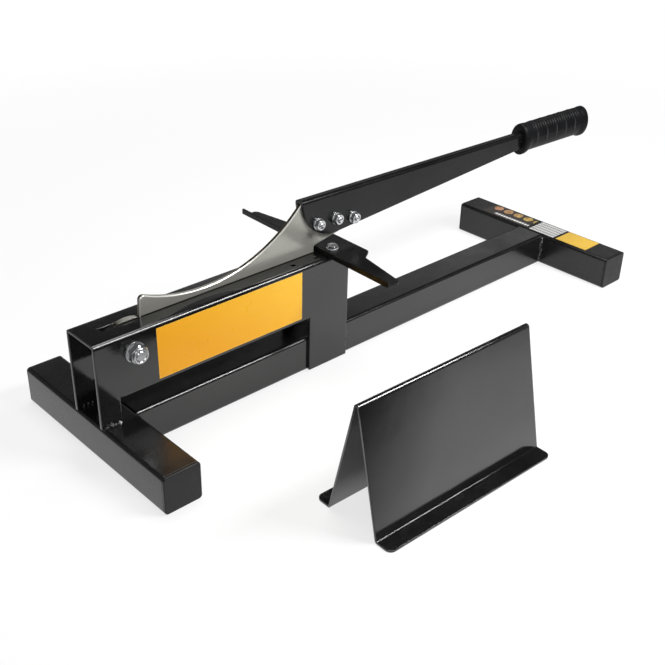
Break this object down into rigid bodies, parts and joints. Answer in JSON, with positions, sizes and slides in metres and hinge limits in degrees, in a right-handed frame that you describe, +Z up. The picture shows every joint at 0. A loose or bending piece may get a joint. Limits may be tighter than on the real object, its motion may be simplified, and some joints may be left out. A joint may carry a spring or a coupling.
{
  "type": "laminate flooring cutter",
  "caption": "Guillotine cutter for laminate planks: lever blade that drops through a slotted table on a square-tube base, with a swivelling fence and a loose folded support stand.",
  "frame": {"origin": "on the floor, on the underside of the main beam, midway between the outer faces of the two feet", "axes": "+X along the beam from the blade pivot to the grip, +Y across the frame away from the labelled side, +Z up"},
  "size_m": [0.7117, 0.3959, 0.1857],
  "materials": {
    "black_paint": "gloss",
    "cap_plastic": "satin",
    "blade_steel": "brushed",
    "zinc": "bright plated",
    "grip_rubber": "matte",
    "label_film": "gloss",
    "sticker_film": "gloss"
  },
  "bodies": {
    "frame": {"front_foot": "black_paint", "front_foot_cap_near": "cap_plastic", "front_foot_cap_far": "cap_plastic", "rear_foot": "black_paint", "rear_foot_cap_near": "cap_plastic", "rear_foot_cap_far": "cap_plastic", "main_beam": "black_paint", "blade_housing": "black_paint", "pivot_bolt": "zinc", "pivot_nut": "zinc", "pivot_washers": "zinc", "pivot_spacers": "zinc", "fence_bolt": "zinc", "fence_washer": "zinc", "fence_nut": "zinc", "housing_label": "label_film", "rear_foot_stickers": "sticker_film"},
    "arm": {"blade": "blade_steel", "handle_arm": "black_paint", "handle_grip": "grip_rubber", "handle_bolts": "zinc", "handle_washers": "zinc", "handle_nuts": "zinc"},
    "fence": {"fence": "black_paint"},
    "stand": {"support_stand": "black_paint"}
  },
  "joints": [
    {"name": "blade_pivot", "type": "hinge", "parent": "frame", "child": "arm", "pos_m": [-0.2975, 0, 0.1034], "axis": [0, -1, 0], "range_deg": [0, 55]},
    {"name": "fence_swivel", "type": "hinge", "parent": "frame", "child": "fence", "pos_m": [-0.055, -0.0112, 0.12255], "axis": [0, 0, -1], "range_deg": [0, 45]},
    {"name": "stand_slide", "type": "slide", "parent": "frame", "child": "stand", "axis": [0, -1, 0], "range_m": [0, 0.4]}
  ]
}
